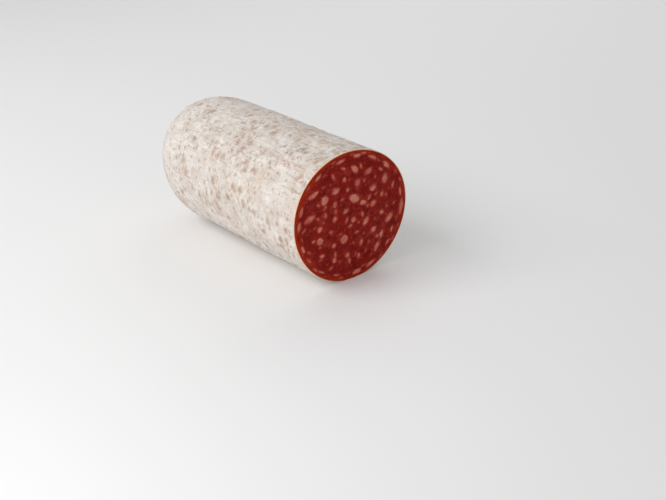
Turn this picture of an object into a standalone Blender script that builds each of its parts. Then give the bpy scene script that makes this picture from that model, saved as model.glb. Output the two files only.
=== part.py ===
"""Half of a cured sausage in a mould-ripened casing, lying on its side.

The knife has taken one end off, a little askew, so that end is a flat face of
meat. At the other end the casing closes over a dome and is gathered in pleats
round a small knob. The axis runs along X with the cut face at +X, and the
sausage rests on a narrow flat that its own weight has pressed into it.
"""

import math

import bmesh
import bpy

# Driving dimensions, in metres and radians.
RADIUS = 0.0325
SIDE_LENGTH = 0.0925
DOME_DEPTH = 0.0295
CUT_ANGLE = math.radians(6.0)
REST_FLAT_DEPTH = 0.0006

# The section is not quite round: an oval leaning over, and a faint egg shape.
OVAL = 0.030
OVAL_ANGLE = math.radians(130.0)
EGG = 0.011
EGG_ANGLE = math.radians(19.0)

# The side swells and narrows a little along its length.
SWELL = 0.005
SWELL_WAVELENGTH = 0.070

# The gathered end: a ring-shaped valley, a knob inside it, and pleats around it.
DOME_POWER = 2.1
VALLEY_RADIUS = 0.0062
VALLEY_WIDTH = 0.0024
VALLEY_DEPTH = 0.0026
KNOB_RADIUS = 0.0048
KNOB_HEIGHT = 0.0022
PLEATS = 14
PLEAT_HEIGHT = 0.00075
PLEAT_INNER_RADIUS = 0.0035
PLEAT_OUTER_RADIUS = 0.0260

# How finely the surface is divided.
SEGMENTS = 6 * PLEATS
SIDE_RINGS = 16
DOME_RINGS = 15
GATHER_RINGS = 7
CUT_OVERHANG = 0.012
CUTTER_SIZE = 0.120
MERGE_DISTANCE = 0.00001


def clear_scene():
    """Remove every object, so that the file holds the sausage alone."""
    for obj in list(bpy.data.objects):
        bpy.data.objects.remove(obj, do_unlink=True)


def make_collection(name):
    """Return a new collection linked to the scene."""
    collection = bpy.data.collections.new(name)
    bpy.context.scene.collection.children.link(collection)
    return collection


def make_material(name, colour, roughness):
    """Return a Principled material with a plain colour and roughness."""
    material = bpy.data.materials.new(name)
    material.use_nodes = True
    shader = material.node_tree.nodes["Principled BSDF"]
    shader.inputs["Base Color"].default_value = (*colour, 1.0)
    shader.inputs["Roughness"].default_value = roughness
    shader.inputs["Metallic"].default_value = 0.0
    material.diffuse_color = (*colour, 1.0)
    return material


def smooth_step(low, high, value):
    """Rise smoothly from 0 at low to 1 at high."""
    share = min(max((value - low) / (high - low), 0.0), 1.0)
    return share * share * (3.0 - 2.0 * share)


def dome_reach(radius):
    """Distance of the plain dome from the end of the side, at a radius."""
    share = min(radius / RADIUS, 1.0)
    return DOME_DEPTH * (1.0 - share**DOME_POWER) ** (1.0 / DOME_POWER)


def gathered_reach(radius):
    """The dome with the valley pressed in and the knob standing in its middle."""
    off_valley = (radius - VALLEY_RADIUS) / VALLEY_WIDTH
    valley = VALLEY_DEPTH * math.exp(-off_valley * off_valley)
    knob = KNOB_HEIGHT * (1.0 - smooth_step(0.0, KNOB_RADIUS, radius))
    return dome_reach(radius) - valley + knob


def profile_points():
    """Half outline of the sausage as (x, radius), from the cut end to the knob."""
    points = [(CUT_OVERHANG, 0.0)]
    for ring in range(SIDE_RINGS + 1):
        share = ring / SIDE_RINGS
        along = CUT_OVERHANG - share * (SIDE_LENGTH + CUT_OVERHANG)
        points.append((along, RADIUS))
    gather_start = VALLEY_RADIUS + 1.5 * VALLEY_WIDTH
    last_angle = math.acos(gather_start / RADIUS)
    for ring in range(1, DOME_RINGS + 1):
        radius = RADIUS * math.cos(last_angle * ring / DOME_RINGS)
        points.append((-SIDE_LENGTH - gathered_reach(radius), radius))
    for ring in range(1, GATHER_RINGS + 1):
        radius = gather_start * (1.0 - ring / GATHER_RINGS)
        points.append((-SIDE_LENGTH - gathered_reach(radius), radius))
    return points


def make_turned_body(collection):
    """Turn the half outline about the X axis with a Screw modifier."""
    mesh = bpy.data.meshes.new("turned_body")
    outline = bmesh.new()
    points = [outline.verts.new((x, 0.0, radius)) for x, radius in profile_points()]
    for first, second in zip(points, points[1:]):
        outline.edges.new((first, second))
    outline.to_mesh(mesh)
    outline.free()
    body = bpy.data.objects.new("turned_body", mesh)
    collection.objects.link(body)
    screw = body.modifiers.new("Turn", "SCREW")
    screw.axis = "X"
    screw.steps = SEGMENTS
    screw.render_steps = SEGMENTS
    screw.use_merge_vertices = True
    screw.merge_threshold = MERGE_DISTANCE
    screw.use_smooth_shade = True
    return body


def girth(angle, along):
    """How far the skin stands out at this angle and place, as a share of round."""
    oval = OVAL * math.cos(2.0 * (angle - OVAL_ANGLE))
    egg = EGG * math.cos(3.0 * (angle - EGG_ANGLE))
    swell = SWELL * math.sin(2.0 * math.pi * along / SWELL_WAVELENGTH + 2.0 * math.cos(angle))
    fade = smooth_step(-SIDE_LENGTH - DOME_DEPTH, -SIDE_LENGTH, along)
    return 1.0 + oval + egg + swell * fade


def pleat(angle, radius):
    """Height of the pleats on the gathered end, deeper on some sides than others."""
    inward = smooth_step(PLEAT_INNER_RADIUS, VALLEY_RADIUS, radius)
    outward = 1.0 - smooth_step(VALLEY_RADIUS, PLEAT_OUTER_RADIUS, radius)
    unevenness = 1.0 + 0.35 * math.cos(3.0 * angle + 0.8)
    return PLEAT_HEIGHT * inward * outward * unevenness * math.cos(PLEATS * angle)


def shape_body(mesh):
    """Give the turned body its real section, its pleats and the flat it rests on."""
    lowest = -RADIUS * girth(-math.pi / 2.0, -SIDE_LENGTH / 2.0) + REST_FLAT_DEPTH
    for vertex in mesh.vertices:
        x, y, z = vertex.co
        radius = math.hypot(y, z)
        angle = math.atan2(z, y)
        stretch = girth(angle, x)
        if x < -SIDE_LENGTH:
            x -= pleat(angle, radius)
        vertex.co = (x, y * stretch, max(z * stretch, lowest))


def mesh_from(obj):
    """Return a mesh of the object as its modifiers leave it."""
    graph = bpy.context.evaluated_depsgraph_get()
    return bpy.data.meshes.new_from_object(obj.evaluated_get(graph))


def close_mesh(mesh):
    """Weld the poles and the seam, and turn every face outwards."""
    surface = bmesh.new()
    surface.from_mesh(mesh)
    bmesh.ops.remove_doubles(surface, verts=surface.verts, dist=MERGE_DISTANCE)
    bmesh.ops.recalc_face_normals(surface, faces=surface.faces)
    surface.to_mesh(mesh)
    surface.free()


def make_sausage(collection, casing):
    """Build the shaped, uncut sausage."""
    body = make_turned_body(collection)
    mesh = mesh_from(body)
    mesh.name = "sausage"
    bpy.data.objects.remove(body, do_unlink=True)
    close_mesh(mesh)
    shape_body(mesh)
    mesh.materials.append(casing)
    mesh.shade_smooth()
    sausage = bpy.data.objects.new("sausage", mesh)
    collection.objects.link(sausage)
    return sausage


def make_knife(collection, cut_meat):
    """Build the block that stands for all that the knife took away."""
    bpy.ops.mesh.primitive_cube_add(size=CUTTER_SIZE)
    knife = bpy.context.active_object
    knife.name = "knife"
    for owner in list(knife.users_collection):
        owner.objects.unlink(knife)
    collection.objects.link(knife)
    knife.rotation_euler.z = -CUT_ANGLE
    reach = CUTTER_SIZE / 2.0
    knife.location = (reach * math.cos(CUT_ANGLE), -reach * math.sin(CUT_ANGLE), 0.0)
    knife.data.materials.append(cut_meat)
    knife.hide_render = True
    knife.display_type = "WIRE"
    return knife


def cut(sausage, knife):
    """Slice the end off with a Boolean, which gives the new face the meat's material."""
    slicing = sausage.modifiers.new("Slice", "BOOLEAN")
    slicing.operation = "DIFFERENCE"
    slicing.solver = "EXACT"
    slicing.object = knife
    slicing.material_mode = "TRANSFER"


def stand_on_origin(sausage, knife):
    """Centre the sausage over the origin, with its flat on the ground."""
    mesh = mesh_from(sausage)
    low = [min(vertex.co[axis] for vertex in mesh.vertices) for axis in range(3)]
    high = [max(vertex.co[axis] for vertex in mesh.vertices) for axis in range(3)]
    bpy.data.meshes.remove(mesh)
    knife.parent = sausage
    sausage.location = (-(low[0] + high[0]) / 2.0, -(low[1] + high[1]) / 2.0, -low[2])


def main():
    clear_scene()
    parts = make_collection("cured_sausage")
    cutters = make_collection("cutters")
    casing = make_material("mouldy_casing", (0.76, 0.70, 0.62), 0.85)
    cut_meat = make_material("cut_meat", (0.27, 0.012, 0.010), 0.40)
    sausage = make_sausage(parts, casing)
    knife = make_knife(cutters, cut_meat)
    cut(sausage, knife)
    stand_on_origin(sausage, knife)


main()
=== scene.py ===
# %% [markdown]
# # A cut cured sausage
# This lesson dresses the plain solid of half a cured sausage as the real food: a
# mould-ripened casing, a face of coarse-ground lean, and dice of hard back fat. The
# solid gives the size and the place, and nothing here moves or resizes it.

# %% Load the frame
import math

import bpy
import numpy as np
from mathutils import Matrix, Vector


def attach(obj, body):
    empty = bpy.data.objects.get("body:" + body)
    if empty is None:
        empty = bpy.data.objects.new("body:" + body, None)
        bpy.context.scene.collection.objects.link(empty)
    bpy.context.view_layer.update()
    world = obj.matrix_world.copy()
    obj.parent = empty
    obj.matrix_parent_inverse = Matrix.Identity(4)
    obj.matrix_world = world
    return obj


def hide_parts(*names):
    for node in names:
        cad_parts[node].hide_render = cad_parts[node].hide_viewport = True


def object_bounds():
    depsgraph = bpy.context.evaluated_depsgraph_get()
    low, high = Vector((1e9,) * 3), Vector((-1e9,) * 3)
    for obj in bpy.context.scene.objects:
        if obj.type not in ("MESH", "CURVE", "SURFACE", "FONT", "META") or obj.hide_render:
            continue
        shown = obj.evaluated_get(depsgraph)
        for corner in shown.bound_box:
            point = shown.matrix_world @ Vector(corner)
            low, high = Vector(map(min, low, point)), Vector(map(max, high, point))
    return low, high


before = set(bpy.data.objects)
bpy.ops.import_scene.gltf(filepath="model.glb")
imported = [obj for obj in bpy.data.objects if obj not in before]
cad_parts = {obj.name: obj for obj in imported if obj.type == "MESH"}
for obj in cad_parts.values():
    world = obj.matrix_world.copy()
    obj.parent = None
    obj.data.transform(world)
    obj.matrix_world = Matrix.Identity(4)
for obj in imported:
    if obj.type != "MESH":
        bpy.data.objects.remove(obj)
cad_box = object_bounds()
print("CAD box in mm:", [[round(1000.0 * number, 1) for number in corner] for corner in cad_box])

# %% [markdown]
# ## Short ways to build node trees
# The casing and the meat are shaped by formulas, and a formula in Blender's nodes is
# one Math node for each sum. Adding those by hand is long and hard to read. A small
# class that stands for one wire lets Python's own signs add the nodes, so that a
# shape reads as it would on paper, in geometry trees and in materials alike.

# %% Wires and nodes
MM = 0.001


class Wire:
    """A number or a vector on its way through a node tree."""

    def __init__(self, tree, socket):
        self.tree = tree
        self.socket = socket

    def __add__(self, other):
        return maths("ADD", self, other)

    def __radd__(self, other):
        return maths("ADD", other, self)

    def __sub__(self, other):
        return maths("SUBTRACT", self, other)

    def __rsub__(self, other):
        return maths("SUBTRACT", other, self)

    def __mul__(self, other):
        return maths("MULTIPLY", self, other)

    def __rmul__(self, other):
        return maths("MULTIPLY", other, self)

    def __truediv__(self, other):
        return maths("DIVIDE", self, other)

    def __pow__(self, other):
        return maths("POWER", self, other)

    def output(self, name):
        """Another output of the node that this wire comes from."""
        return Wire(self.tree, open_socket(self.socket.node.outputs, name))


def open_socket(sockets, name):
    """The socket in use with this name, or at this place if the name is a number."""
    if isinstance(name, int):
        return sockets[name]
    return next(socket for socket in sockets if socket.enabled and socket.name == name)


def add_node(tree, kind, values=None, **settings):
    """Add a node with its settings and inputs, and return a wire from its first output."""
    node = tree.nodes.new(kind)
    for name, setting in settings.items():
        setattr(node, name, setting)
    for name, value in (values or {}).items():
        socket = open_socket(node.inputs, name)
        if isinstance(value, Wire):
            tree.links.new(value.socket, socket)
        else:
            socket.default_value = value
    return Wire(tree, next((socket for socket in node.outputs if socket.enabled), None))


def maths(operation, *values):
    """One Math node: the values may be wires or plain numbers."""
    tree = next(value.tree for value in values if isinstance(value, Wire))
    return add_node(tree, "ShaderNodeMath", dict(enumerate(values)), operation=operation)


def vector_maths(operation, *values):
    """One Vector Math node."""
    tree = next(value.tree for value in values if isinstance(value, Wire))
    return add_node(tree, "ShaderNodeVectorMath", dict(enumerate(values)), operation=operation)


def cosine(angle):
    return maths("COSINE", angle)


def sine(angle):
    return maths("SINE", angle)


def at_least(first, second):
    return maths("MAXIMUM", first, second)


def at_most(first, second):
    return maths("MINIMUM", first, second)


def smooth_step(low, high, value):
    """Rise smoothly from 0 at low to 1 at high."""
    limits = {"Value": value, "From Min": low, "From Max": high}
    return add_node(value.tree, "ShaderNodeMapRange", limits, interpolation_type="SMOOTHSTEP")


def split(vector):
    """The three numbers of a vector."""
    parts = add_node(vector.tree, "ShaderNodeSeparateXYZ", {0: vector})
    return parts, parts.output("Y"), parts.output("Z")


def join(x, y, z):
    """A vector of three numbers, of which at least one is a wire."""
    tree = next(value.tree for value in (x, y, z) if isinstance(value, Wire))
    return add_node(tree, "ShaderNodeCombineXYZ", {0: x, 1: y, 2: z})


def scaled(vector, number):
    """A vector made longer or shorter by one number."""
    return vector_maths("MULTIPLY", vector, join(number, number, number))


def noise(place, size, detail=2.0, roughness=0.5, distortion=0.0):
    """Soft random cloud, whose lumps measure about half of size across; its middle is 0.5."""
    values = {"Vector": place, "Scale": 1.0 / size, "Detail": detail}
    values.update({"Roughness": roughness, "Distortion": distortion})
    return add_node(place.tree, "ShaderNodeTexNoise", values)


def stretch(place, x, y, z, shift=0.0):
    """Scale a place along each axis, and step aside so that two patterns don't agree."""
    return vector_maths("MULTIPLY_ADD", place, (x, y, z), (shift, shift, shift))


def turn_about(place, angles):
    """Turn a place about the origin, so that a stretched pattern runs slantwise."""
    values = {"Vector": place, "Rotation": angles}
    return add_node(place.tree, "ShaderNodeVectorRotate", values, rotation_type="EULER_XYZ")


def ridges(cloud, sharpness):
    """Thin crests where a cloud crosses its middle: 1 on the crest, 0 away from it."""
    return (1.0 - at_most(maths("ABSOLUTE", cloud - 0.5) * 2.0 * sharpness, 1.0)) ** 1.5


# %% Geometry trees with named inputs
def open_geometry_tree(name, sizes):
    """Start a Geometry Nodes tree with one named input for each size."""
    tree = bpy.data.node_groups.new(name, "GeometryNodeTree")
    tree.interface.new_socket("Geometry", in_out="OUTPUT", socket_type="NodeSocketGeometry")
    tree.interface.new_socket("Geometry", in_out="INPUT", socket_type="NodeSocketGeometry")
    for label, value in sizes.items():
        kind = {int: "Int", float: "Float"}.get(type(value), "Object")
        tree.interface.new_socket(label, in_out="INPUT", socket_type="NodeSocket" + kind)
    tree.interface.new_socket("Material", in_out="INPUT", socket_type="NodeSocketMaterial")
    start = tree.nodes.new("NodeGroupInput")
    return tree, {socket.name: Wire(tree, socket) for socket in start.outputs if socket.name}


def close_geometry_tree(tree, geometry, material):
    """End a tree with real, smooth, finished geometry."""
    real = add_node(tree, "GeometryNodeRealizeInstances", {"Geometry": geometry})
    smooth = add_node(tree, "GeometryNodeSetShadeSmooth", {"Geometry": real})
    finished = add_node(tree, "GeometryNodeSetMaterial", {"Geometry": smooth, "Material": material})
    end = tree.nodes.new("NodeGroupOutput")
    tree.links.new(finished.socket, end.inputs["Geometry"])


def moved(geometry, **where):
    """Give a geometry's points a new Position, or push them by an Offset."""
    return add_node(geometry.tree, "GeometryNodeSetPosition", {"Geometry": geometry, **where})


def distance_to(objects, place):
    """How far a place is from the nearest of some pieces; far away if there are none."""
    distances = []
    for thing in objects:
        mesh = add_node(place.tree, "GeometryNodeObjectInfo", {"Object": thing}).output("Geometry")
        values = {"Geometry": mesh, "Sample Position": place}
        near = add_node(place.tree, "GeometryNodeProximity", values, target_element="FACES")
        distances.append(near.output("Distance") + (1.0 - near.output("Is Valid")))
    return at_most(*distances)


def run_tree(piece_name, start_mesh, tree, sizes, material):
    """Run a tree on a mesh, and keep what it makes as a plain mesh object."""
    maker = bpy.data.objects.new(piece_name + "_maker", start_mesh)
    bpy.context.scene.collection.objects.link(maker)
    modifier = maker.modifiers.new("Make", "NODES")
    modifier.node_group = tree
    for socket in tree.interface.items_tree:
        if socket.in_out == "INPUT" and sizes.get(socket.name) is not None:
            modifier[socket.identifier] = sizes[socket.name]
        if socket.in_out == "INPUT" and socket.name == "Material":
            modifier[socket.identifier] = material
    graph = bpy.context.evaluated_depsgraph_get()
    mesh = bpy.data.meshes.new_from_object(maker.evaluated_get(graph))
    bpy.data.objects.remove(maker, do_unlink=True)
    mesh.name = piece_name
    piece = bpy.data.objects.new(piece_name, mesh)
    bpy.context.scene.collection.objects.link(piece)
    mesh.calc_loop_triangles()
    print(piece_name, len(mesh.vertices), "points,", len(mesh.loop_triangles), "triangles")
    return piece


# %% [markdown]
# ## The form
# A sausage is a turned body: straight sides, a dome where the casing closes, and at
# its tip a ring-shaped valley with the gathered knob inside. Its section is a little
# oval, and the knife went through a little askew. These are the solid's own
# dimensions, so that the fine skins made below lie exactly where it does.

# %% Driving dimensions of the form
RADIUS = 32.5 * MM
SIDE_LENGTH = 92.5 * MM
DOME_DEPTH = 29.5 * MM
DOME_POWER = 2.1
CUT_ANGLE = math.radians(6.0)
REST_FLAT_DEPTH = 0.6 * MM
OVAL = 0.030
OVAL_ANGLE = math.radians(130.0)
EGG = 0.011
EGG_ANGLE = math.radians(19.0)
SWELL = 0.005
SWELL_WAVELENGTH = 70.0 * MM
VALLEY_RADIUS = 6.2 * MM
VALLEY_WIDTH = 2.4 * MM
VALLEY_DEPTH = 2.6 * MM
KNOB_RADIUS = 4.8 * MM
KNOB_HEIGHT = 2.2 * MM
PLEATS = 14
PLEAT_HEIGHT = 0.75 * MM
PLEAT_INNER_RADIUS = 3.5 * MM
PLEAT_OUTER_RADIUS = 26.0 * MM
print("the sausage is", 2.0 * RADIUS / MM, "mm across, with", SIDE_LENGTH / MM, "mm of straight side")


def soft_share(low, high, value):
    """The smooth step again, for plain numbers."""
    share = min(max((value - low) / (high - low), 0.0), 1.0)
    return share * share * (3.0 - 2.0 * share)


def dome_reach(radius):
    """How far the plain dome stands beyond the straight side, at a radius."""
    share = min(radius / RADIUS, 1.0)
    return DOME_DEPTH * (1.0 - share**DOME_POWER) ** (1.0 / DOME_POWER)


def gathered_reach(radius):
    """The dome with the valley pressed in and the knob standing in its middle."""
    off_valley = (radius - VALLEY_RADIUS) / VALLEY_WIDTH
    valley = VALLEY_DEPTH * math.exp(-off_valley * off_valley)
    knob = KNOB_HEIGHT * (1.0 - soft_share(0.0, KNOB_RADIUS, radius))
    return dome_reach(radius) - valley + knob


# %% Where the axis lies in the frame
solid_points = np.array([vertex.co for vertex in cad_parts["sausage"].data.vertices])
knob_tip = solid_points[solid_points[:, 0].argmin()]
AXIS_PLACE = knob_tip + np.array((SIDE_LENGTH + gathered_reach(0.0), 0.0, 0.0))
AXIS_X, AXIS_Y, AXIS_Z = (float(number) for number in AXIS_PLACE)
print("the axis meets the cut at", [round(number / MM, 2) for number in (AXIS_X, AXIS_Y, AXIS_Z)], "mm")


# %% [markdown]
# ## Turning an outline
# Casing and meat each have a tree, built by the same steps. It takes an outline, a row
# of points with a place along the axis and a radius, and sweeps it round a grid of
# columns. Then it gives every point the oval section, the slant of the cut, the pleats
# and the flat. A Screw modifier turns an outline too, but the formulas have to follow,
# and in one tree they can be read in order. Each piece also gets a flat map of its own,
# so that a baked look has no needless seams.

# %% The section, the pleats and the flat, as formulas
def girth(angle, along):
    """How far the skin stands out at this angle and place, as a share of round."""
    oval = OVAL * cosine((angle - OVAL_ANGLE) * 2.0)
    egg = EGG * cosine((angle - EGG_ANGLE) * 3.0)
    swell = SWELL * sine(along * (2.0 * math.pi / SWELL_WAVELENGTH) + cosine(angle) * 2.0)
    fade = smooth_step(-SIDE_LENGTH - DOME_DEPTH, -SIDE_LENGTH, along)
    return oval + egg + swell * fade + 1.0


def pleat(angle, radius):
    """Height of the solid's own pleats on the gathered end."""
    inward = smooth_step(PLEAT_INNER_RADIUS, VALLEY_RADIUS, radius)
    outward = 1.0 - smooth_step(VALLEY_RADIUS, PLEAT_OUTER_RADIUS, radius)
    unevenness = cosine(angle * 3.0 + 0.8) * 0.35 + 1.0
    return inward * outward * unevenness * cosine(angle * float(PLEATS)) * PLEAT_HEIGHT


def lowest_point():
    """Height of the flat under the axis."""
    oval = OVAL * math.cos(2.0 * (-math.pi / 2.0 - OVAL_ANGLE))
    egg = EGG * math.cos(3.0 * (-math.pi / 2.0 - EGG_ANGLE))
    swell = SWELL * math.sin(-math.pi * SIDE_LENGTH / SWELL_WAVELENGTH)
    return -RADIUS * (1.0 + oval + egg + swell) + REST_FLAT_DEPTH


# %% The tree that turns an outline and shapes it
SLANT_FADE = 55.0 * MM
WELD = 0.004 * MM
FACE_MAP_WIDTH = 2.15 * RADIUS
HIDDEN_MAP_WIDTH = 0.13


def swept_grid(tree, inputs):
    """A flat grid with a column for each turn and a row for each outline point."""
    counter = add_node(tree, "GeometryNodeAttributeDomainSize", {"Geometry": inputs["Geometry"]})
    rows = counter.output("Point Count")
    counts = {"Vertices X": inputs["Columns"] + 1.0, "Vertices Y": rows}
    grid = add_node(tree, "GeometryNodeMeshGrid", counts)
    index = add_node(tree, "GeometryNodeInputIndex")
    column = maths("FLOOR", (index + 0.5) / rows)
    row = index - column * rows
    return grid, row, column / inputs["Columns"]


def from_outline(inputs, row, name):
    """One number that the outline holds, read at this row."""
    held = named(row.tree, name)
    values = {"Geometry": inputs["Geometry"], "Value": held, "Index": row}
    return add_node(row.tree, "GeometryNodeSampleIndex", values, data_type="FLOAT", domain="POINT")


def shaped_place(angle, along, radius, lift):
    """Where a point of the outline goes, in the frame."""
    slant = math.tan(CUT_ANGLE) * smooth_step(-SLANT_FADE, 0.0, along)
    first_y = radius * cosine(angle) * girth(angle, along)
    slanted = along + first_y * slant
    share = girth(angle, slanted)
    y = radius * cosine(angle) * share
    z = at_least(radius * sine(angle) * share, lift + lowest_point())
    gathered = smooth_step(SIDE_LENGTH, SIDE_LENGTH + 1.0 * MM, along * -1.0)
    x = along + y * slant - pleat(angle, radius) * gathered
    return join(x + AXIS_X, y + AXIS_Y, z + AXIS_Z)


def keep(geometry, name, value, kind="FLOAT", domain="POINT"):
    """Store a value on the geometry, where materials can read it."""
    values = {"Geometry": geometry, "Name": name, "Value": value}
    settings = {"data_type": kind, "domain": domain}
    return add_node(geometry.tree, "GeometryNodeStoreNamedAttribute", values, **settings)


def turned_form(tree, inputs):
    """The shaped skin, with its facts stored on it and its seam still open."""
    grid, row, round_share = swept_grid(tree, inputs)
    skin = grid
    for name in ("outside", "edge", "bake", "along", "radius"):
        skin = keep(skin, name, from_outline(inputs, row, name))
    angle = round_share * (2.0 * math.pi)
    skin = keep(skin, "turn", angle)
    stored = {name: named(tree, name) for name in ("along", "radius", "outside", "turn")}
    lift = (1.0 - stored["outside"]) * inputs["Wall"]
    place = shaped_place(stored["turn"], stored["along"], stored["radius"], lift)
    return moved(skin, Position=place)


def named(tree, name, kind="FLOAT"):
    """A wire from a stored number or vector."""
    return add_node(tree, "GeometryNodeInputNamedAttribute", {"Name": name}, data_type=kind)


def mapped(geometry, u, v):
    """Store where each corner of each face lies on the flat map that a bake fills."""
    return keep(geometry, "OFBake", join(u, v, u * 0.0), "FLOAT2", "CORNER")


def on_whole_faces(value):
    """The mean of a value over each face, so that a face is never torn between two maps."""
    values = {"Value": value}
    return add_node(value.tree, "GeometryNodeFieldOnDomain", values, data_type="FLOAT", domain="FACE")


def face_map(tree):
    """The cut face laid flat on the map, seen straight on: across and up, 0 to 1."""
    _, y, z = split(add_node(tree, "GeometryNodeInputPosition"))
    across = (y - AXIS_Y) / FACE_MAP_WIDTH + 0.5
    up = (z - AXIS_Z) / FACE_MAP_WIDTH + 0.5
    return across, up


def welded(geometry):
    """Close the seam and the poles."""
    return add_node(
        geometry.tree, "GeometryNodeMergeByDistance", {"Geometry": geometry, "Distance": WELD}
    )


def outline_mesh(name, stations):
    """A mesh that only holds the outline: one point for each station, with its facts."""
    mesh = bpy.data.meshes.new(name)
    mesh.from_pydata([(station["along"], 0.0, station["radius"]) for station in stations], [], [])
    for fact in stations[0]:
        numbers = mesh.attributes.new(fact, "FLOAT", "POINT")
        numbers.data.foreach_set("value", [station[fact] for station in stations])
    return mesh


# %% [markdown]
# ## The casing
# The casing is a thin, dry skin under a bloom of white mould. Where the bloom is thin
# the tan skin shows through as freckles, mostly longer round the sausage than along
# it. As the meat dries it shrinks, and the skin creases like paper. Folds, pleats and
# the thickness of the bloom are real relief here. Bump adds only what is finer: the
# powder, the paper grain and the edges of the thin spots.

# %% Outline of the casing, from inside over the cut edge to the knob
CASING_WALL = 0.45 * MM
CASING_COLUMNS = 372
SIDE_ROWS = 150
DOME_ROWS = 52
KNOB_ROWS = 22
EDGE_ROWS = 6
INNER_SIDE_ROWS = 9
INNER_DOME_ROWS = 9
EDGE_ROUND = 0.16 * MM
EDGE_GLOW = 0.20 * MM
GATHER_START = VALLEY_RADIUS + 1.5 * VALLEY_WIDTH
INNER_REACH = DOME_DEPTH - VALLEY_DEPTH - 2.0 * MM
INNER_BAKE = 0.02
EDGE_BAKE = 0.04


def inner_outline(radius_limit, side_rows, dome_rows):
    """Stations of the inner wall, from its pole along the dome and up to the cut."""
    places = []
    for row in range(dome_rows):
        radius = radius_limit * math.sin(0.5 * math.pi * row / dome_rows)
        reach = min(dome_reach(radius * RADIUS / radius_limit), INNER_REACH)
        places.append((-SIDE_LENGTH - reach, radius))
    for row in range(side_rows):
        places.append((-SIDE_LENGTH * (1.0 - row / side_rows), radius_limit))
    return places


def outer_outline():
    """Stations of the outer skin, from the cut to the tip of the knob."""
    places = []
    for row in range(1, SIDE_ROWS + 1):
        share = row / SIDE_ROWS
        places.append((-EDGE_ROUND - share * (SIDE_LENGTH - EDGE_ROUND), RADIUS))
    last_angle = math.acos(GATHER_START / RADIUS)
    for row in range(1, DOME_ROWS + 1):
        radius = RADIUS * math.cos(last_angle * row / DOME_ROWS)
        places.append((-SIDE_LENGTH - gathered_reach(radius), radius))
    for row in range(1, KNOB_ROWS + 1):
        radius = GATHER_START * (1.0 - row / KNOB_ROWS)
        places.append((-SIDE_LENGTH - gathered_reach(radius), radius))
    return places


def station(along, radius, outside, edge, bake):
    return {"along": along, "radius": radius, "outside": outside, "edge": edge, "bake": bake}


def casing_stations():
    """The whole outline of the casing, with what each station is."""
    inner_radius = RADIUS - CASING_WALL
    inner = inner_outline(inner_radius, INNER_SIDE_ROWS, INNER_DOME_ROWS)
    stations = []
    for row, (along, radius) in enumerate(inner):
        stations.append(station(along, radius, 0.0, 0.0, INNER_BAKE * row / len(inner)))
    for row in range(EDGE_ROWS + 1):
        turn = math.pi * row / EDGE_ROWS
        along = -EDGE_ROUND * (1.0 - math.sin(turn))
        radius = RADIUS - 0.5 * CASING_WALL * (1.0 + math.cos(turn))
        bake = INNER_BAKE + (EDGE_BAKE - INNER_BAKE) * row / EDGE_ROWS
        stations.append(station(along, radius, row / EDGE_ROWS, 1.0, bake))
    outer = outer_outline()
    steps = [math.dist(first, second) for first, second in zip(outer, outer[1:])]
    lengths = np.concatenate(([0.0], np.cumsum(steps)))
    for (along, radius), length in zip(outer, lengths):
        # Past the cut, edge fades out over EDGE_GLOW: there the relief is smoothed away and the painted
        # lip highlight fades.
        edge = math.exp(-(length - outer[0][0]) / EDGE_GLOW)
        bake = EDGE_BAKE + (1.0 - EDGE_BAKE) * (length + 0.5 * MM) / (lengths[-1] + 0.5 * MM)
        stations.append(station(along, radius, 1.0, edge, bake))
    return stations


# %% Patterns that the casing's relief and its colour share
HANDLED_LENGTH = 34.0 * MM
CLUSTER_SIZE = 17.0 * MM
LARGE_FRECKLE = 5.2 * MM
SMALL_FRECKLE = 2.6 * MM
UPPER_START = 1.05 * RADIUS
UPPER_FULL = 1.75 * RADIUS
CREASE_SHARPNESS = 5.0


def clusters(place):
    """Soft cloud that crowds the freckles together in some places, and near the cut."""
    along, _, _ = split(place)
    handled = smooth_step(-HANDLED_LENGTH, 0.0, along - AXIS_X) * 0.12
    return noise(stretch(place, 1.0, 1.0, 1.0, 11.9), CLUSTER_SIZE, 2.0, 0.5) + handled


def freckles(place, size, shift):
    """Smudges of uneven size and outline, darkest in the middle. 1 in the middle."""
    start = stretch(place, 1.3, 1.0, 1.0, shift)
    warp = noise(start, 0.6 * size, 3.0, 0.6).output("Color")
    push = vector_maths("MULTIPLY_ADD", warp, (0.9 * size,) * 3, (-0.45 * size,) * 3)
    values = {"Vector": vector_maths("ADD", start, push), "Scale": 1.0 / size, "Randomness": 1.0}
    cells = add_node(place.tree, "ShaderNodeTexVoronoi", values, feature="F1")
    chance, other, _ = split(cells.output("Color"))
    reach = other * 0.34 + 0.26
    chosen = smooth_step(0.42, 0.62, chance + (clusters(place) - 0.5) * 1.6)
    return (1.0 - smooth_step(0.0, 1.15, cells / reach)) * chosen


def bloom_gaps(place):
    """Where the mould is thin: freckles in clusters, longer round than along. 1 in a gap."""
    large = freckles(place, LARGE_FRECKLE, 0.0)
    small = freckles(place, SMALL_FRECKLE, 4.0) * 0.9
    return 1.0 - (1.0 - large) * (1.0 - small)


def low_and_high(place, low_marks, high_marks):
    """One pattern low down on the sausage, going over into another higher up."""
    _, _, height = split(place)
    upper = smooth_step(UPPER_START, UPPER_FULL, height)
    return low_marks * (1.0 - upper) + high_marks * upper


def bloom_streaks(place):
    """Faint brush marks in the mould: round the sausage low down, along it higher up."""
    round_marks = noise(stretch(place, 4.2, 1.0, 1.0, 5.1), 2.6 * MM, 2.0, 0.6, 0.6)
    long_marks = noise(stretch(place, 0.25, 1.3, 1.3, 6.3), 1.6 * MM, 2.0, 0.6, 0.6)
    return low_and_high(place, round_marks, long_marks)


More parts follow.
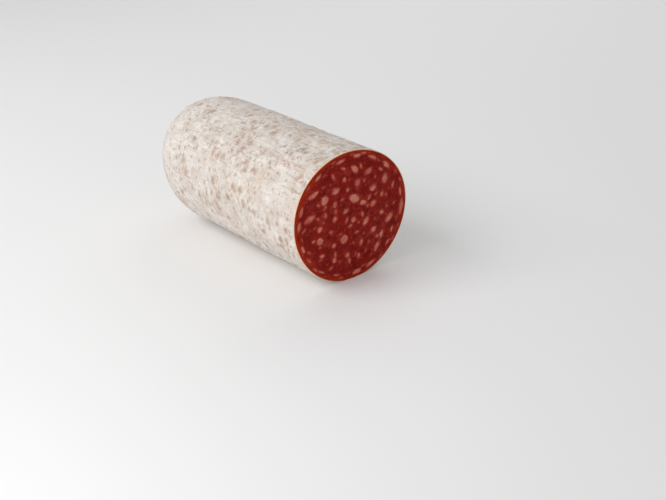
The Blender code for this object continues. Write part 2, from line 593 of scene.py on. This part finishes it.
def dark_flecks(place):
    """Small marks where the mould is rubbed away, in the same clusters as the freckles."""
    round_marks = noise(stretch(place, 1.5, 1.0, 1.0, 9.0), 2.9 * MM, 1.5, 0.5, 0.3)
    long_marks = noise(stretch(place, 0.8, 1.2, 1.2, 2.7), 2.5 * MM, 1.5, 0.5, 0.3)
    marks = low_and_high(place, round_marks, long_marks) + (clusters(place) - 0.5) * 0.30
    return smooth_step(0.54, 0.86, marks)


def long_creases(place):
    """Creases that run nearly along the sausage. 1 in the crease."""
    cloud = noise(stretch(place, 0.22, 1.0, 1.0, 1.7), 7.0 * MM, 2.0, 0.5, 0.6)
    return ridges(cloud, CREASE_SHARPNESS)


def slanting_creases(place):
    """Finer creases that climb round the skin like those of crumpled paper."""
    turned = turn_about(place, (0.0, 0.6, 0.5))
    cloud = noise(stretch(turned, 1.3, 0.42, 0.42), 4.2 * MM, 2.0, 0.55, 0.8)
    return ridges(cloud, CREASE_SHARPNESS)


# %% The tree that makes the casing
CASING_SIZES = {
    "Columns": CASING_COLUMNS,
    "Wall": CASING_WALL,
    "Lump Height": 0.55 * MM,
    "Crease Depth": 0.42 * MM,
    "Bloom Height": 0.14 * MM,
    "Fine Pleat Height": 0.50 * MM,
    "Fine Pleats": 34.0,
}
LUMP_SIZE = 26.0 * MM
RIPPLE_SIZE = 9.0 * MM
FLOOR_FADE = 4.0 * MM


def casing_relief(inputs, place):
    """How far the skin stands out of the plain form, in metres."""
    tree = place.tree
    lumps = (noise(place, LUMP_SIZE, 1.5, 0.45) - 0.5) * inputs["Lump Height"]
    ripples = noise(stretch(place, 0.5, 1.0, 1.0, 5.0), RIPPLE_SIZE, 2.0, 0.5) - 0.5
    creases = at_least(long_creases(place) * 0.8, slanting_creases(place) * 0.7)
    radius = named(tree, "radius")
    turn = named(tree, "turn")
    wander = (noise(place, RIPPLE_SIZE, 2.0) - 0.5) * 5.0
    folds = cosine(turn * inputs["Fine Pleats"] + wander)
    past_tip = smooth_step(1.5 * MM, 5.0 * MM, radius)
    near_knob = past_tip * (1.0 - smooth_step(6.0 * MM, 22.0 * MM, radius))
    on_dome = smooth_step(SIDE_LENGTH, SIDE_LENGTH + 6.0 * MM, named(tree, "along") * -1.0)
    pleats = folds * near_knob * on_dome * inputs["Fine Pleat Height"]
    wrinkles = ripples * inputs["Lump Height"] * 0.5 - creases * inputs["Crease Depth"]
    bloom = bloom_gaps(place) * inputs["Bloom Height"]
    return lumps + wrinkles + pleats - bloom


def casing_tree():
    tree, inputs = open_geometry_tree("turn_the_casing", CASING_SIZES)
    across = named(tree, "turn") / (2.0 * math.pi)
    form = welded(mapped(turned_form(tree, inputs), across, named(tree, "bake")))
    place = add_node(tree, "GeometryNodeInputPosition")
    normal = add_node(tree, "GeometryNodeInputNormal")
    _, _, height = split(place)
    off_floor = smooth_step(0.3 * MM, FLOOR_FADE, height)
    off_edge = 1.0 - named(tree, "edge")
    amount = casing_relief(inputs, place) * named(tree, "outside") * off_floor * off_edge
    skin = moved(form, Offset=scaled(normal, amount))
    x, y, z = split(add_node(tree, "GeometryNodeInputPosition"))
    skin = moved(skin, Position=join(x, y, at_least(z, 0.0)))
    close_geometry_tree(tree, skin, inputs["Material"])
    return tree


# %% [markdown]
# ## Colours and surfaces
# Colours are named as they look on a screen and turned to linear for the shaders.

# %% Named colours
def screen_colour(red, green, blue):
    """A screen colour of 0 to 255 as the linear colour that shaders take."""
    linear = []
    for part in (red, green, blue):
        share = part / 255.0
        low = share <= 0.04045
        linear.append(share / 12.92 if low else ((share + 0.055) / 1.055) ** 2.4)
    return (*linear, 1.0)


MOULD_WHITE = screen_colour(241, 236, 230)
MOULD_GREY = screen_colour(225, 217, 209)
MOULD_WARM = screen_colour(228, 206, 186)
SKIN_TAN = screen_colour(170, 140, 114)
SKIN_PINK = screen_colour(188, 144, 122)
SPECK_BROWN = screen_colour(122, 102, 84)
SPECK_RED = screen_colour(158, 112, 90)
CASING_CUT = screen_colour(206, 112, 60)
CASING_LIP_HIGHLIGHT = screen_colour(242, 208, 178)
LEAN_DEEP = screen_colour(108, 10, 4)
LEAN_RED = screen_colour(144, 19, 8)
LEAN_BRIGHT = screen_colour(176, 58, 48)
LEAN_RIM = screen_colour(178, 46, 8)
POCKET_SHADE = screen_colour(56, 8, 5)
FAT_PINK = screen_colour(192, 98, 76)
FAT_PALE = screen_colour(216, 130, 106)
FAT_EDGE = screen_colour(168, 50, 36)
FLOOR_WHITE = screen_colour(250, 250, 250)


def blend(share, first, second):
    """The first colour where share is 0 and the second where it is 1."""
    tree = share.tree
    node = tree.nodes.new("ShaderNodeMix")
    node.data_type = "RGBA"
    tree.links.new(share.socket, node.inputs["Factor"])
    for place, colour in ((6, first), (7, second)):
        if isinstance(colour, Wire):
            tree.links.new(colour.socket, node.inputs[place])
        else:
            node.inputs[place].default_value = colour
    return Wire(tree, node.outputs[2])


def new_material(name, **plain_values):
    """A material with its Principled shader and a wire from its object coordinates."""
    material = bpy.data.materials.new(name)
    material.use_nodes = True
    tree = material.node_tree
    shader = tree.nodes["Principled BSDF"]
    for label, value in plain_values.items():
        shader.inputs[label.replace("_", " ")].default_value = value
    coordinates = tree.nodes.new("ShaderNodeTexCoord")
    return material, shader, Wire(tree, coordinates.outputs["Object"])


def feed(shader, name, wire):
    """Lead a wire into one of the shader's inputs."""
    wire.tree.links.new(wire.socket, shader.inputs[name])


def bumped(height, distance, strength):
    """A Bump node over a height."""
    values = {"Height": height, "Distance": distance, "Strength": strength}
    return add_node(height.tree, "ShaderNodeBump", values)


def stored(tree, name):
    """A number that a piece's mesh holds."""
    node = tree.nodes.new("ShaderNodeAttribute")
    node.attribute_name = name
    return Wire(tree, node.outputs["Fac"])


# %% [markdown]
# ## One moist surface for lean and fat
# Where a knife has passed, salt and fat leave a thin film. It is not an even gloss: it
# gathers in patches a few millimetres wide and dries between them. Lean and fat wear
# the same film, each in its own strength, so it is one group of nodes with named
# inputs that both materials place. Polished food would look like plastic, so even the
# wettest patch stays soft.

# %% The moist film as a group
def open_shader_group(name, inputs, outputs):
    """Start a shader group with named inputs, each with its plain value, and outputs."""
    tree = bpy.data.node_groups.new(name, "ShaderNodeTree")
    for label, value in inputs.items():
        kind = "Vector" if value is None else "Float"
        socket = tree.interface.new_socket(label, in_out="INPUT", socket_type="NodeSocket" + kind)
        if value is not None:
            socket.default_value = value
    for label in outputs:
        tree.interface.new_socket(label, in_out="OUTPUT", socket_type="NodeSocketFloat")
    start = tree.nodes.new("NodeGroupInput")
    end = tree.nodes.new("NodeGroupOutput")
    return tree, {socket.name: Wire(tree, socket) for socket in start.outputs if socket.name}, end


def sized_noise(place, size):
    """A soft cloud whose size is a wire."""
    values = {"Vector": place, "Scale": maths("DIVIDE", 1.0, size), "Detail": 3.0, "Roughness": 0.6}
    return add_node(place.tree, "ShaderNodeTexNoise", values)


def moist_film_group():
    """Patchy gloss: how rough the surface is, where the film is wet, and its grain."""
    sizes = {"Place": None, "Patch Size": 5.0 * MM, "Drop Size": 2.4 * MM, "Grain Size": 1.0 * MM}
    looks = {"Wet Roughness": 0.22, "Dry Roughness": 0.62, "Wetness": 0.35}
    outputs = ("Roughness", "Wet", "Grain")
    tree, inputs, end = open_shader_group("moist_film", {**sizes, **looks}, outputs)
    place = inputs["Place"]
    patches = sized_noise(stretch(place, 1.0, 1.0, 1.0, 8.0), inputs["Patch Size"])
    drops = sized_noise(stretch(place, 1.0, 1.0, 1.0, 12.0), inputs["Drop Size"])
    grain = sized_noise(stretch(place, 1.0, 1.0, 1.0, 3.0), inputs["Grain Size"])
    spread = inputs["Dry Roughness"] - inputs["Wet Roughness"]
    results = {
        "Roughness": inputs["Wet Roughness"] + spread * patches,
        "Wet": smooth_step(0.57, 0.68, drops) * inputs["Wetness"],
        "Grain": grain,
    }
    for label, wire in results.items():
        tree.links.new(wire.socket, end.inputs[label])
    return tree


MOIST_FILM = moist_film_group()
print("the moist film has", len(MOIST_FILM.interface.items_tree), "inputs and outputs")


def place_film(tree, place, **values):
    """Place the moist film in a material, with this material's own values."""
    node = tree.nodes.new("ShaderNodeGroup")
    node.node_tree = MOIST_FILM
    tree.links.new(place.socket, node.inputs["Place"])
    for label, value in values.items():
        node.inputs[label.replace("_", " ")].default_value = value
    return {socket.name: Wire(tree, socket) for socket in node.outputs}


# %% The mouldy casing
def casing_material():
    material, shader, place = new_material("mouldy_casing", Sheen_Weight=0.12, Sheen_Roughness=0.6)
    tree = place.tree
    gaps = bloom_gaps(place)
    tone = smooth_step(0.40, 0.62, noise(stretch(place, 1.0, 1.0, 1.0, 2.2), 8.0 * MM, 2.0))
    showing = blend(tone, SKIN_TAN, SKIN_PINK)
    haze = smooth_step(0.36, 0.66, noise(stretch(place, 1.2, 1.0, 1.0, 4.4), 9.0 * MM, 4.0, 0.6))
    bloom = blend(haze, MOULD_WHITE, MOULD_GREY)
    warmth = noise(stretch(place, 1.3, 1.0, 1.0, 8.1), 16.0 * MM, 3.0, 0.55)
    warmth = warmth + smooth_step(-24.0 * MM, 0.0, stored(tree, "along")) * 0.04
    bloom = blend(smooth_step(0.48, 0.72, warmth) * 0.45, bloom, MOULD_WARM)
    streaks = smooth_step(0.47, 0.72, bloom_streaks(place))
    bloom = blend(streaks * 0.42, bloom, showing)
    colour = blend(gaps * 0.85, bloom, showing)
    shade = at_least(long_creases(place), slanting_creases(place))
    # Painted shade: the creases are darkened a little towards the tan skin.
    colour = blend(shade * 0.18, colour, SKIN_TAN)
    colour = blend(dark_flecks(place) * 0.60, colour, blend(tone, SPECK_BROWN, SPECK_RED))
    # The casing's cut lip: its own orange on the inner side, and a painted cream highlight on the outer
    # side and just past it.
    edge = blend(smooth_step(0.25, 1.0, stored(tree, "outside")), CASING_CUT, CASING_LIP_HIGHLIGHT)
    colour = blend(stored(tree, "edge"), colour, edge)
    feed(shader, "Base Color", colour)
    feed(shader, "Roughness", 0.92 - gaps * 0.22)
    powder = noise(place, 0.9 * MM, 5.0, 0.7)
    paper = noise(stretch(place, 0.5, 1.0, 1.0, 11.0), 3.4 * MM, 3.0, 0.6, 0.8)
    grain = powder * 0.7 + paper * 1.2 - shade * 1.1 - gaps * 0.6
    feed(shader, "Normal", bumped(grain, 0.22 * MM, 0.8))
    return material


casing_finish = casing_material()
casing = run_tree(
    "casing",
    outline_mesh("casing_outline", casing_stations()),
    casing_tree(),
    CASING_SIZES,
    casing_finish,
)

# %% [markdown]
# ## The fat
# Hard back fat is cut into dice before it is mixed in, so the knife meets little
# cubes at every angle and shows them as rounded three- to six-sided patches. That is
# how they are made here: true dice, turned at random, sunk in the face and sliced
# level with it. Near the casing the filling drags them out along the rim.

# %% The tree that scatters dice
DICE_SIZES = {
    "Spacing": 6.1 * MM,
    "Smallest": 0.9 * MM,
    "Largest": 2.05 * MM,
    "Longest Share": 1.75,
    "Rim Margin": 2.2 * MM,
    "Raggedness": 0.34,
    "Proud": 0.06 * MM,
    "Sides": 11,
    "Seed": 1,
    "Dice": None,
    "Crumbs": None,
}
MOST_POINTS = 250000.0  # for each square metre, before the spacing thins them out
RIM_START = 0.62 * RADIUS
RIM_FULL = 0.92 * RADIUS
LONGER_AT_RIM = 0.6
THINNER_AT_RIM = 0.35
MOSTLY_SMALL = 1.35
ANY_WAY = 6.28
NOISE_STEP = 900.0
DICE_POWER = 2.6
FACE_NORMAL = (math.cos(CUT_ANGLE), -math.sin(CUT_ANGLE), 0.0)


def random_number(tree, low, high, seed):
    """A random number for each point, between two limits."""
    values = {"Min": low, "Max": high, "Seed": seed}
    return add_node(tree, "FunctionNodeRandomValue", values, data_type="FLOAT")


def cut_disc(tree, inputs):
    """The part of the cut plane where dice may sit, flat on the face of the meat."""
    disc = add_node(tree, "GeometryNodeMeshCircle", {"Vertices": 96, "Radius": 1.0}, fill_type="NGON")
    x, y, _ = split(add_node(tree, "GeometryNodeInputPosition"))
    angle = maths("ARCTAN2", y, x)
    radius = (RADIUS - CASING_WALL) - inputs["Rim Margin"]
    place = shaped_place(angle, x * 0.0, x * 0.0 + radius, 0.0)
    return moved(disc, Position=place)


def dice_tree():
    tree, inputs = open_geometry_tree("scatter_the_fat", DICE_SIZES)
    disc = cut_disc(tree, inputs)
    seed = inputs["Seed"]
    spread = {"Mesh": disc, "Distance Min": inputs["Spacing"], "Seed": seed}
    spread["Density Max"] = MOST_POINTS
    kind = "GeometryNodeDistributePointsOnFaces"
    points = add_node(tree, kind, spread, distribute_method="POISSON")
    place = add_node(tree, "GeometryNodeInputPosition")
    to_larger = distance_to((inputs["Dice"], inputs["Crumbs"]), place)
    crowded = maths("LESS_THAN", to_larger, inputs["Largest"])
    values = {"Geometry": points, "Selection": crowded}
    points = add_node(tree, "GeometryNodeDeleteGeometry", values, domain="POINT")
    x, y, z = split(place)
    across = y - AXIS_Y
    up = z - AXIS_Z
    from_axis = maths("SQRT", across * across + up * up)
    near_rim = smooth_step(RIM_START, RIM_FULL, from_axis)
    size_share = random_number(tree, 0.0, 1.0, seed + 11.0) ** MOSTLY_SMALL
    size = inputs["Smallest"] + (inputs["Largest"] - inputs["Smallest"]) * size_share
    longer = random_number(tree, 1.0, inputs["Longest Share"], seed + 12.0) + near_rim * LONGER_AT_RIM
    thin = 1.0 - near_rim * THINNER_AT_RIM
    tangent = maths("ARCTAN2", up, across) + math.pi / 2.0
    free_turn = random_number(tree, 0.0, math.pi, seed + 13.0)
    turn = free_turn * (1.0 - near_rim) + tangent * near_rim
    marked = keep(points, "dice_size", size)
    marked = keep(marked, "dice_depth", size * random_number(tree, 0.1, 0.6, seed + 14.0))
    marked = keep(marked, "dice_long", longer)
    marked = keep(marked, "dice_thin", thin)
    marked = keep(marked, "dice_turn", turn)
    proud = inputs["Proud"] * random_number(tree, 0.7, 1.3, seed + 16.0)
    marked = keep(marked, "dice_proud", proud)
    centre = keep(marked, "dice_centre", place, "FLOAT_VECTOR")
    sides = {"Vertices " + axis: inputs["Sides"] for axis in "XYZ"}
    dice = add_node(tree, "GeometryNodeMeshCube", {"Size": (2.0, 2.0, 2.0), **sides})
    turns = {"Min": (0.0, 0.0, 0.0), "Max": (ANY_WAY,) * 3, "Seed": seed + 15.0}
    tumble = add_node(tree, "FunctionNodeRandomValue", turns, data_type="FLOAT_VECTOR")
    rounded = moved(dice, Position=round_the_dice(tree))
    values = {"Points": centre, "Instance": rounded, "Rotation": tumble}
    placed = add_node(tree, "GeometryNodeInstanceOnPoints", values)
    real = add_node(tree, "GeometryNodeRealizeInstances", {"Geometry": placed})
    shaped = moved(real, Position=dice_place(tree, inputs))
    known = keep(shaped, "above", height_above_cut(tree))
    across, up = face_map(tree)
    seen = smooth_step(-0.01 * MM, 0.0, on_whole_faces(named(tree, "above")))
    shrink = HIDDEN_MAP_WIDTH + seen * (1.0 - HIDDEN_MAP_WIDTH)
    known = mapped(known, across * shrink, up * shrink)
    sliced = moved(known, Offset=slice_offset(tree))
    close_geometry_tree(tree, sliced, inputs["Material"])
    return tree


def round_the_dice(tree):
    """Pull a cube's points towards a ball, so that its edges and corners are soft."""
    place = add_node(tree, "GeometryNodeInputPosition")
    x, y, z = split(place)
    powers = [maths("ABSOLUTE", number) ** DICE_POWER for number in (x, y, z)]
    scale = at_least(powers[0] + powers[1] + powers[2], 0.0001) ** (-1.0 / DICE_POWER)
    return scaled(place, scale)


def dice_place(tree, inputs):
    """A unit dice's point, ragged, stretched, turned in the face and sunk under it."""
    centre = named(tree, "dice_centre", "FLOAT_VECTOR")
    place = add_node(tree, "GeometryNodeInputPosition")
    local = vector_maths("SUBTRACT", place, centre)
    size = named(tree, "dice_size")
    own_part = vector_maths("MULTIPLY", centre, (NOISE_STEP,) * 3)
    values = {"Vector": vector_maths("ADD", own_part, local), "Scale": 0.9, "Detail": 3.0}
    values["Distortion"] = 0.5
    cloud = add_node(tree, "ShaderNodeTexNoise", values).output("Color")
    push = vector_maths("SUBTRACT", cloud, (0.5, 0.5, 0.5))
    local = vector_maths("ADD", local, scaled(push, inputs["Raggedness"] * 2.0))
    dx, dy, dz = split(local)
    turn = named(tree, "dice_turn")
    long_way = dx * size * named(tree, "dice_long")
    short_way = dy * size * named(tree, "dice_thin")
    deep = dz * size - named(tree, "dice_depth")
    across = long_way * cosine(turn) - short_way * sine(turn)
    up = long_way * sine(turn) + short_way * cosine(turn)
    sideways = math.sin(CUT_ANGLE)
    forwards = math.cos(CUT_ANGLE)
    offset = join(deep * forwards + across * sideways, across * forwards - deep * sideways, up)
    return vector_maths("ADD", centre, offset)


def height_above_cut(tree):
    """How far a point stands out of the cut plane."""
    x, y, _ = split(add_node(tree, "GeometryNodeInputPosition"))
    return (x - AXIS_X) * math.cos(CUT_ANGLE) - (y - AXIS_Y) * math.sin(CUT_ANGLE)


def slice_offset(tree):
    """Move whatever stands above the cut plane down to a soft, nearly level top."""
    proud = named(tree, "dice_proud")
    raised = at_least(named(tree, "above"), 0.0)
    levelled = proud * (1.0 - maths("EXPONENT", raised * -1.0 / proud))
    return scaled(FACE_NORMAL, raised * -1.0 + levelled)


# %% The fat's colour
LIGHT_REACH = 1.5 * MM


def fat_material():
    gloss = {"Specular_IOR_Level": 0.22, "Coat_Roughness": 0.20}
    depth_of_light = {"Subsurface_Weight": 0.12, "Subsurface_Scale": LIGHT_REACH}
    material, shader, place = new_material("back_fat", **gloss, **depth_of_light)
    tree = place.tree
    clouds = smooth_step(0.35, 0.65, noise(place, 3.5 * MM, 2.0))
    colour = blend(clouds, FAT_PINK, FAT_PALE)
    size = smooth_step(0.1 * MM, 1.3 * MM, stored(tree, "dice_size"))
    colour = blend(size, FAT_EDGE, colour)
    uneven = noise(stretch(place, 1.0, 1.0, 1.0, 5.0), 1.3 * MM, 4.0, 0.6, 0.6)
    depth = stored(tree, "above") / stored(tree, "dice_size") + (uneven - 0.5) * 0.7
    colour = blend(smooth_step(0.02, 0.60, depth), FAT_EDGE, colour)
    feed(shader, "Base Color", colour)
    film_look = {"Wet_Roughness": 0.26, "Dry_Roughness": 0.58, "Wetness": 0.14}
    film = place_film(tree, place, Patch_Size=2.0 * MM, **film_look)
    feed(shader, "Roughness", film["Roughness"])
    feed(shader, "Coat Weight", film["Wet"])
    feed(shader, "Normal", bumped(film["Grain"] * 0.6 + uneven * 0.4, 0.10 * MM, 0.6))
    return material


fat_finish = fat_material()
scatter_tree = dice_tree()
FAT_KINDS = {
    "Dice": {},
    "Crumbs": {
        "Spacing": 4.0 * MM,
        "Smallest": 0.40 * MM,
        "Largest": 0.85 * MM,
        "Rim Margin": 1.2 * MM,
        "Longest Share": 2.2,
        "Proud": 0.05 * MM,
        "Sides": 6,
        "Seed": 5,
    },
    "Flecks": {
        "Spacing": 2.6 * MM,
        "Smallest": 0.18 * MM,
        "Largest": 0.42 * MM,
        "Rim Margin": 0.8 * MM,
        "Proud": 0.04 * MM,
        "Sides": 4,
        "Seed": 9,
    },
}
fat_pieces = {}
for kind, changes in FAT_KINDS.items():
    piece_name = "fat_" + kind.lower()
    nothing = bpy.data.meshes.new(piece_name + "_start")
    sizes = {**DICE_SIZES, **changes, **fat_pieces}
    fat_pieces[kind] = run_tree(piece_name, nothing, scatter_tree, sizes, fat_finish)

# %% [markdown]
# ## The meat
# Inside the casing is one block of coarse-ground lean. Its outer ring has dried, so it
# is denser and more orange. The face was cut with a knife: flat, a little fibrous, and
# smeared with fat beside each piece of fat. For that the block stores how far every
# point of its face is from the fat, which is why the fat was made first.

# %% Outline of the meat, from the middle of the face over its rim to the far pole
CORE_GAP = 0.03 * MM
CORE_COLUMNS = 372
FACE_ROWS = 88
CORE_SIDE_ROWS = 9
CORE_DOME_ROWS = 9
CORE_EDGE = 0.05 * MM


def core_stations():
    """The outline of the meat: the face, a narrow slope at its rim, and the hidden side."""
    core_radius = RADIUS - CASING_WALL - CORE_GAP
    stations = []
    for row in range(FACE_ROWS + 1):
        radius = (core_radius - CORE_EDGE) * row / FACE_ROWS
        stations.append(station(0.0, radius, 1.0, 0.0, 0.0))
    side = inner_outline(core_radius, CORE_SIDE_ROWS, CORE_DOME_ROWS)[::-1]
    for row, (along, radius) in enumerate(side):
        stations.append(station(along - CORE_EDGE, radius, 0.0, 0.0, row / len(side)))
    return stations


# %% Patterns of the lean
def meat_grain(place):
    """Coarse-ground meat: worms and crumbs a few millimetres across."""
    return noise(place, 5.0 * MM, 3.0, 0.6, 1.2)


def air_pockets(place):
    """A few small holes where air was left in the mince. 1 in the hole."""
    wavering = noise(place, 1.2 * MM, 2.0).output("Color")
    start = vector_maths("MULTIPLY_ADD", wavering, (0.9 * MM,) * 3, (-0.45 * MM,) * 3)
    start = vector_maths("ADD", stretch(place, 0.1, 1.0, 1.0), start)
    values = {"Vector": start, "Scale": 1.0 / (7.0 * MM), "Randomness": 1.0}
    cells = add_node(place.tree, "ShaderNodeTexVoronoi", values, feature="F1")
    chance, other, _ = split(cells.output("Color"))
    chosen = smooth_step(0.84, 0.85, chance)
    reach = other * 0.05 + 0.055
    return smooth_step(0.0, 0.7, 1.0 - cells / reach) * chosen


# %% The tree that makes the meat
CORE_SIZES = {
    "Columns": CORE_COLUMNS,
    "Wall": CASING_WALL + CORE_GAP,
    "Grain Height": 0.26 * MM,
    "Pocket Depth": 0.6 * MM,
    "Dice": fat_pieces["Dice"],
    "Crumbs": fat_pieces["Crumbs"],
}


def core_map(tree):
    """The face lies flat on the map, and the hidden side is packed in a corner of it."""
    across, up = face_map(tree)
    on_face = smooth_step(0.7, 0.8, on_whole_faces(named(tree, "outside")))
    side_across = named(tree, "turn") * (HIDDEN_MAP_WIDTH / (2.0 * math.pi))
    side_up = named(tree, "bake") * HIDDEN_MAP_WIDTH
    return side_across + (across - side_across) * on_face, side_up + (up - side_up) * on_face


def core_tree():
    tree, inputs = open_geometry_tree("turn_the_meat", CORE_SIZES)
    form = welded(mapped(turned_form(tree, inputs), *core_map(tree)))
    place = add_node(tree, "GeometryNodeInputPosition")
    small = noise(stretch(place, 1.0, 1.0, 1.0, 6.0), 1.5 * MM, 2.0, 0.6, 0.8)
    relief = (meat_grain(place) * 0.6 + small * 0.4 - 0.5) * inputs["Grain Height"]
    relief = relief - air_pockets(place) * inputs["Pocket Depth"]
    amount = relief * named(tree, "outside")
    offset = join(amount, amount * 0.0, amount * 0.0)
    beside = distance_to((inputs["Dice"], inputs["Crumbs"]), place)
    known = keep(form, "to_fat", beside)
    close_geometry_tree(tree, moved(known, Offset=offset), inputs["Material"])
    return tree


# %% The lean's colour and gloss
DRIED_RIM = 1.5 * MM
DRY_SIDE = 0.60
LEAN_LUMP = 4.6 * MM
LEAN_CRUMB = 1.7 * MM
SMEAR_REACH = 0.9 * MM
STREAK_LENGTH = 7.0 * MM
STREAK_WIDTH = 1.1 * MM


def crumbs(place, size, shift=0.0):
    """Lumps with wavering edges, each with its own number from 0 to 1."""
    start = stretch(place, 1.0, 1.0, 1.0, shift)
    clouds = {"Vector": start, "Scale": 1.4 / size, "Detail": 2.0}
    warp = add_node(place.tree, "ShaderNodeTexNoise", clouds).output("Color")
    push = vector_maths("MULTIPLY_ADD", warp, (0.6 * size,) * 3, (-0.3 * size,) * 3)
    cells = {"Vector": vector_maths("ADD", start, push), "Scale": 1.0 / size}
    lumps = add_node(place.tree, "ShaderNodeTexVoronoi", cells, feature="F1")
    return split(lumps.output("Color"))[0]


def fibres(place, lump):
    """Muscle fibres, which lie another way in every lump."""
    values = {"Vector": place, "Angle": lump * (2.0 * math.pi)}
    turned = add_node(place.tree, "ShaderNodeVectorRotate", values, rotation_type="X_AXIS")
    return noise(stretch(turned, 1.0, 0.20, 1.0), 0.8 * MM, 2.0, 0.6, 0.4)


def rim_streaks(place, radius):
    """Streaks that the filling has dragged along the casing."""
    _, y, z = split(place)
    across = (y - AXIS_Y) / radius * (RADIUS / STREAK_LENGTH)
    up = (z - AXIS_Z) / radius * (RADIUS / STREAK_LENGTH)
    return noise(join(across, up, radius / STREAK_WIDTH), 1.0, 3.0, 0.6, 0.3)


def lean_material():
    gloss = {"Specular_IOR_Level": 0.06, "Coat_Roughness": 0.16}
    depth_of_light = {"Subsurface_Weight": 0.08, "Subsurface_Scale": LIGHT_REACH}
    material, shader, place = new_material("cut_lean", **gloss, **depth_of_light)
    tree = place.tree
    radius = stored(tree, "radius")
    lump = crumbs(place, LEAN_LUMP)
    crumb = crumbs(place, LEAN_CRUMB, 4.0)
    thread = fibres(place, lump)
    grain = meat_grain(place)
    fine = noise(stretch(place, 1.0, 1.0, 1.0, 6.0), 1.5 * MM, 5.0, 0.65, 0.8)
    streaks = rim_streaks(place, at_least(radius, 1.0 * MM))
    near_rim = smooth_step(RADIUS * 0.70, RADIUS * 0.93, radius)
    mixed = lump * 0.22 + crumb * 0.12 + grain * 0.9 + thread * 0.4
    flow = mixed * (1.0 - near_rim * 0.6) + streaks * near_rim
    colour = blend(smooth_step(0.52, 1.10, flow), LEAN_DEEP, LEAN_RED)
    light = smooth_step(0.50, 0.72, fine * 0.6 + thread * 0.4)
    colour = blend(light * 0.34, colour, LEAN_BRIGHT)
    sinew = ridges(noise(stretch(place, 1.0, 1.0, 1.0, 15.0), 7.0 * MM, 3.0, 0.55, 1.6), 11.0)
    colour = blend(sinew * thread * 0.5, colour, LEAN_BRIGHT)
    under = noise(stretch(place, 1.0, 1.0, 1.0, 3.0), 3.6 * MM, 1.0, 0.5, 0.4)
    colour = blend(smooth_step(0.54, 0.72, under) * 0.40, colour, LEAN_BRIGHT)
    from_fat = stored(tree, "to_fat") + (fine - 0.5) * 0.8 * MM
    smear = 1.0 - smooth_step(0.0, SMEAR_REACH, from_fat)
    colour = blend(smear * 0.55, colour, LEAN_BRIGHT)
    _, y, _ = split(place)
    dried = DRIED_RIM * (1.0 + DRY_SIDE * (AXIS_Y - y) / RADIUS)
    inner_end = (RADIUS - 0.5 * MM) - dried
    wavering = radius + (streaks - 0.5) * 5.0 * MM
    outer = smooth_step(inner_end - 1.2 * MM, inner_end + 1.4 * MM, wavering)
    colour = blend(outer * (smooth_step(0.30, 0.66, streaks) * 0.50 + 0.36), colour, LEAN_RIM)
    # Painted shade in the air pockets, which are also sunk into the mesh.
    colour = blend(air_pockets(place), colour, POCKET_SHADE)
    feed(shader, "Base Color", colour)
    film = place_film(tree, place, Drop_Size=1.6 * MM, Wetness=0.18)
    feed(shader, "Roughness", film["Roughness"])
    feed(shader, "Coat Weight", film["Wet"])
    rough_cut = thread * 0.5 + crumb * 0.3 + fine * 0.5 - sinew * 0.2
    feed(shader, "Normal", bumped(rough_cut, 0.14 * MM, 0.7))
    return material


lean_finish = lean_material()
core = run_tree(
    "meat",
    outline_mesh("meat_outline", core_stations()),
    core_tree(),
    CORE_SIZES,
    lean_finish,
)

# %% [markdown]
# ## Where the pieces belong
# Nothing moves, so every piece rides on the one body, and together they stand in for
# the plain solid.

# %% Ride on the body and stand in for the solid
slots = {"casing": [casing], "cut_meat": [core], "fat": list(fat_pieces.values())}
for slot_name, pieces in slots.items():
    for piece in pieces:
        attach(piece, "root")
        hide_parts("sausage")

# %% [markdown]
# ## Floor, lamps and camera
# A pale floor and a large soft lamp at the left keep the whites of the mould open and
# leave the cut face in gentle shade. A faint lamp before it and one behind it lift the
# darkest parts.

# %% Floor
bpy.ops.mesh.primitive_plane_add(size=6.0)
floor = bpy.context.active_object
floor.name = "floor"
floor_finish, floor_shader, _ = new_material("pale_floor", Roughness=0.9)
floor_shader.inputs["Base Color"].default_value = FLOOR_WHITE
floor.data.materials.append(floor_finish)


# %% Lamps
def soft_lamp(name, place, size, power):
    """A square white lamp that looks at the middle of the sausage."""
    light = bpy.data.lights.new(name, "AREA")
    light.size = size
    light.energy = power
    lamp = bpy.data.objects.new(name, light)
    bpy.context.scene.collection.objects.link(lamp)
    middle = (cad_box[0] + cad_box[1]) / 2.0
    lamp.location = middle + type(middle)(place)
    lamp.rotation_euler = (middle - lamp.location).to_track_quat("-Z", "Y").to_euler()
    return lamp


soft_lamp("key", (-0.22, -0.66, 0.60), 0.55, 4.15)
soft_lamp("fill", (0.13, -0.27, 0.10), 0.12, 0.08)
soft_lamp("back", (-0.30, 0.60, 0.50), 0.60, 0.9)
world = bpy.data.worlds.new("studio")
bpy.context.scene.world = world
world.use_nodes = True
world.node_tree.nodes["Background"].inputs["Color"].default_value = (1.0, 1.0, 1.0, 1.0)
world.node_tree.nodes["Background"].inputs["Strength"].default_value = 0.45
bpy.context.scene.view_settings.view_transform = "Standard"

# %% Camera
CAMERA_AZIMUTH = math.radians(46.25)
CAMERA_DOWN = math.radians(28.4)
CAMERA_FROM_CUT = (0.2722, -0.2724, 0.1909)
CAMERA_LENS = 51.0
print("the camera is", round(math.hypot(*CAMERA_FROM_CUT) / MM), "mm from the cut")
camera_data = bpy.data.cameras.new("camera")
camera_data.lens = CAMERA_LENS
camera_data.sensor_width = 36.0
camera_data.clip_start = 0.01
camera = bpy.data.objects.new("camera", camera_data)
bpy.context.scene.collection.objects.link(camera)
camera.location = [float(axis) + away for axis, away in zip(AXIS_PLACE, CAMERA_FROM_CUT)]
camera.rotation_euler = (math.pi / 2.0 - CAMERA_DOWN, 0.0, CAMERA_AZIMUTH)
bpy.context.scene.camera = camera
